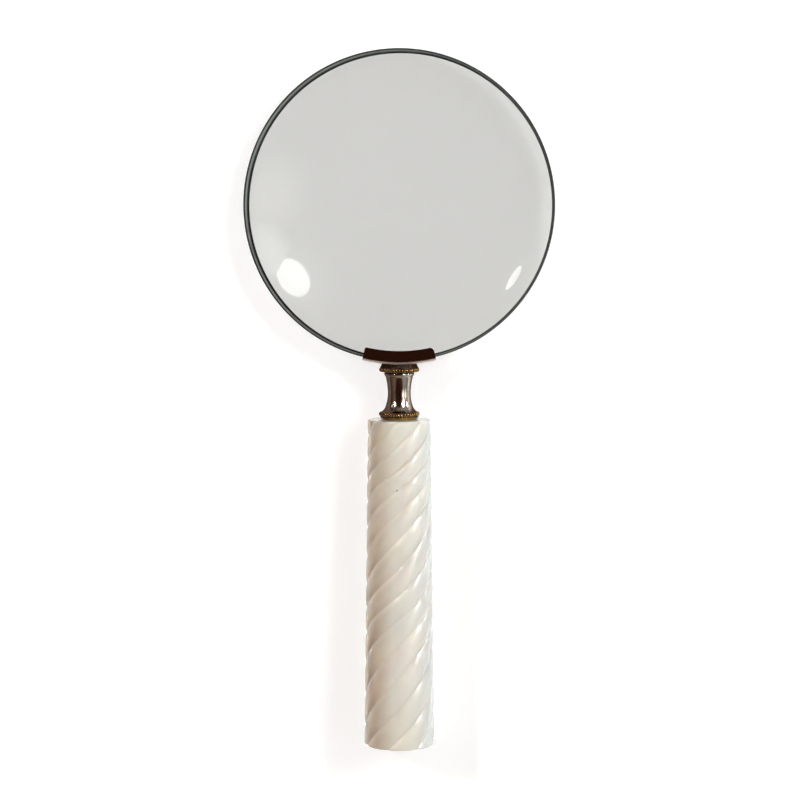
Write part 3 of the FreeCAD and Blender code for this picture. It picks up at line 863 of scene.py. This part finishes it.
FLOOR_RADIUS = 4.0
FLOOR_GLOW = 0.67
CAMERA_DISTANCE = 0.688
CAMERA_PITCH = math.radians(5.286)
CAMERA_ASIDE = 0.00026
FOCAL_LENGTH = 94.5
SENSOR_WIDTH = 36.0
SOFTBOX_DISTANCE = 2.0
HALO_FADE = (0.0, 0.66)  # from a panel's edge, at 0, toward its middle, at 1
CORE_FADE = (0.58, 0.85)


def make_floor():
    """A wide sheet of white paper that glows a little, as if it were lit from below."""
    bpy.ops.mesh.primitive_circle_add(
        vertices=96, radius=FLOOR_RADIUS, fill_type="NGON", location=(0, 0, 0)
    )
    floor = bpy.context.object
    floor.name = "floor"
    nodes = Nodes("floor_paper")
    grain = nodes.noise(0.3, detail=3.0)
    paper = nodes.ramp(grain, (0.3, (0.44, 0.44, 0.44)), (0.7, (0.46, 0.46, 0.46)))
    nodes.link(paper, nodes.surface.inputs["Base Color"])
    nodes.set(Roughness=0.8, Emission_Color=(1, 1, 1, 1), Emission_Strength=FLOOR_GLOW)
    floor.data.materials.append(nodes.material)


def make_camera():
    """The camera above the lens, pitched a little toward the handle."""
    data = bpy.data.cameras.new("camera")
    data.lens = FOCAL_LENGTH
    data.sensor_width = SENSOR_WIDTH
    camera = bpy.data.objects.new("camera", data)
    look = -math.cos(CAMERA_PITCH) * FRONT + math.sin(CAMERA_PITCH) * DOWN
    up = RIGHT.cross(look)
    turn = Matrix((RIGHT, up, -look)).transposed().to_4x4()
    place = LENS_MIDDLE + CAMERA_DISTANCE * FRONT + CAMERA_ASIDE * RIGHT
    camera.matrix_world = Matrix.Translation(place) @ turn
    bpy.context.scene.collection.objects.link(camera)
    bpy.context.scene.camera = camera


def make_glow(name, core, halo, colour):
    """Light with a hot core in the middle of a panel, and a halo that fades out to its edge."""
    nodes = Nodes(name)
    coordinates = nodes.add("ShaderNodeTexCoord")
    gradient = nodes.add("ShaderNodeTexGradient", gradient_type="SPHERICAL")
    widened = nodes.add("ShaderNodeVectorMath", operation="SCALE")
    widened.inputs["Scale"].default_value = 2.0
    nodes.link(coordinates.outputs["Object"], widened.inputs[0])
    nodes.link(widened.outputs[0], gradient.inputs[0])
    total = nodes.add("ShaderNodeMath", operation="ADD")
    nodes.link(nodes.span(gradient.outputs["Fac"], 0.0, halo, *HALO_FADE), total.inputs[0])
    nodes.link(nodes.span(gradient.outputs["Fac"], 0.0, core, *CORE_FADE), total.inputs[1])
    glow = nodes.add("ShaderNodeEmission")
    glow.inputs["Color"].default_value = (*colour, 1)
    nodes.link(total.outputs[0], glow.inputs["Strength"])
    nodes.link(glow.outputs[0], nodes.output.inputs["Surface"])
    return nodes.material


def make_softbox(name, azimuth, polar, across, along, core, halo, colour):
    """A glowing oval panel aimed at the lens, brightest in its middle and fading to its edge.

    Azimuth runs from right toward the far side of the lens, and polar from straight overhead.
    Across is the panel's size round the overhead line and along its size away from it.
    """
    turn, tilt = math.radians(azimuth), math.radians(polar)
    flat = math.cos(turn) * RIGHT - math.sin(turn) * DOWN
    sideways = -math.sin(turn) * RIGHT - math.cos(turn) * DOWN
    toward = math.sin(tilt) * flat + math.cos(tilt) * FRONT
    upward = toward.cross(sideways)
    bpy.ops.mesh.primitive_circle_add(vertices=64, radius=0.5, fill_type="NGON")
    panel = bpy.context.object
    panel.name = name
    size = Matrix.Diagonal((across, along, 1, 1))
    turned = Matrix((sideways, upward, -toward)).transposed().to_4x4()
    panel.matrix_world = Matrix.Translation(LENS_MIDDLE + SOFTBOX_DISTANCE * toward) @ turned @ size
    panel.data.materials.append(make_glow(name, core, halo, colour))


# The room's colours by direction: (component, colour) stops along X, Z and Y, multiplied together.
WALLS = (
    (-1.0, (0.26, 0.18, 0.13)),
    (-0.4, (0.18, 0.13, 0.10)),
    (0.3, (0.35, 0.30, 0.26)),
    (0.55, (0.36, 0.36, 0.36)),
    (0.8, (0.36, 0.36, 0.36)),
    (1.0, (0.16, 0.165, 0.17)),
)
CEILING = (
    (0.0, (1.0, 1.0, 1.0)),
    (0.70, (1.0, 0.98, 0.95)),
    (0.84, (0.18, 0.09, 0.07)),
    (1.0, (0.12, 0.036, 0.024)),
)
ENDS = (
    (-1.0, (1.4, 1.4, 1.4)),
    (0.2, (0.80, 0.80, 0.80)),
    (1.0, (1.0, 1.0, 1.0)),
)
BACKDROP = (0.86, 0.86, 0.85)


def world_ramp(tree, factor, stops):
    """A colour that follows one direction component through (component, colour) stops."""
    low, high = stops[0][0], stops[-1][0]
    spread = tree.nodes.new("ShaderNodeMapRange")
    spread.inputs["From Min"].default_value = low
    spread.inputs["From Max"].default_value = high
    tree.links.new(factor, spread.inputs["Value"])
    ramp = tree.nodes.new("ShaderNodeValToRGB")
    elements = ramp.color_ramp.elements
    while len(elements) < len(stops):
        elements.new(0.5)
    for element, (component, colour) in zip(elements, stops):
        element.position = (component - low) / (high - low)
        element.color = (*colour, 1)
    tree.links.new(spread.outputs["Result"], ramp.inputs["Fac"])
    return ramp.outputs["Color"]


def make_world():
    """A bright wall on the right, a dim warm one on the left, and a dark warm ceiling.

    Seen directly, beyond the floor, the room is a plain pale backdrop.
    """
    world = bpy.data.worlds.new("room")
    world.use_nodes = True
    bpy.context.scene.world = world
    tree = world.node_tree
    coordinates = tree.nodes.new("ShaderNodeTexCoord")
    split = tree.nodes.new("ShaderNodeSeparateXYZ")
    tree.links.new(coordinates.outputs["Generated"], split.inputs[0])
    walls = world_ramp(tree, split.outputs["X"], WALLS)
    ceiling = world_ramp(tree, split.outputs["Z"], CEILING)
    ends = world_ramp(tree, split.outputs["Y"], ENDS)
    colour = walls
    for other in (ceiling, ends):
        both = tree.nodes.new("ShaderNodeMix")
        both.data_type = "RGBA"
        both.blend_type = "MULTIPLY"
        both.inputs[0].default_value = 1.0
        tree.links.new(colour, both.inputs[6])
        tree.links.new(other, both.inputs[7])
        colour = both.outputs[2]
    background = tree.nodes["Background"]
    tree.links.new(colour, background.inputs["Color"])
    backdrop = tree.nodes.new("ShaderNodeBackground")
    backdrop.inputs["Color"].default_value = (*BACKDROP, 1)
    path = tree.nodes.new("ShaderNodeLightPath")
    seen = tree.nodes.new("ShaderNodeMixShader")
    tree.links.new(path.outputs["Is Camera Ray"], seen.inputs[0])
    tree.links.new(background.outputs[0], seen.inputs[1])
    tree.links.new(backdrop.outputs[0], seen.inputs[2])
    tree.links.new(seen.outputs[0], tree.nodes["World Output"].inputs["Surface"])


make_floor()
make_camera()
# Each panel's name, azimuth, polar angle, size across, size along, core, halo and colour.
make_softbox("key", 34, 42, 1.10, 1.25, 55, 1.5, (1.0, 0.99, 0.97))
make_softbox("second", 148, 45, 0.72, 0.28, 440, 0.8, (1.0, 0.97, 0.93))
make_softbox("window", 20, 46, 1.00, 0.85, 0, 5.2, (1.0, 1.0, 0.98))
make_softbox("fill", -6, 42, 1.00, 1.20, 0, 2.6, (1.0, 0.98, 0.94))
make_softbox("side", -4, 68, 1.10, 0.90, 0, 2.2, (1.0, 0.96, 0.90))
make_softbox("low_right", 18, 79, 0.80, 0.60, 45, 1.0, (1.0, 1.0, 0.98))
make_softbox("low_left", 156, 70, 0.60, 0.60, 8, 0.6, (1.0, 0.98, 0.95))
make_world()
bpy.context.scene.view_settings.view_transform = "Standard"
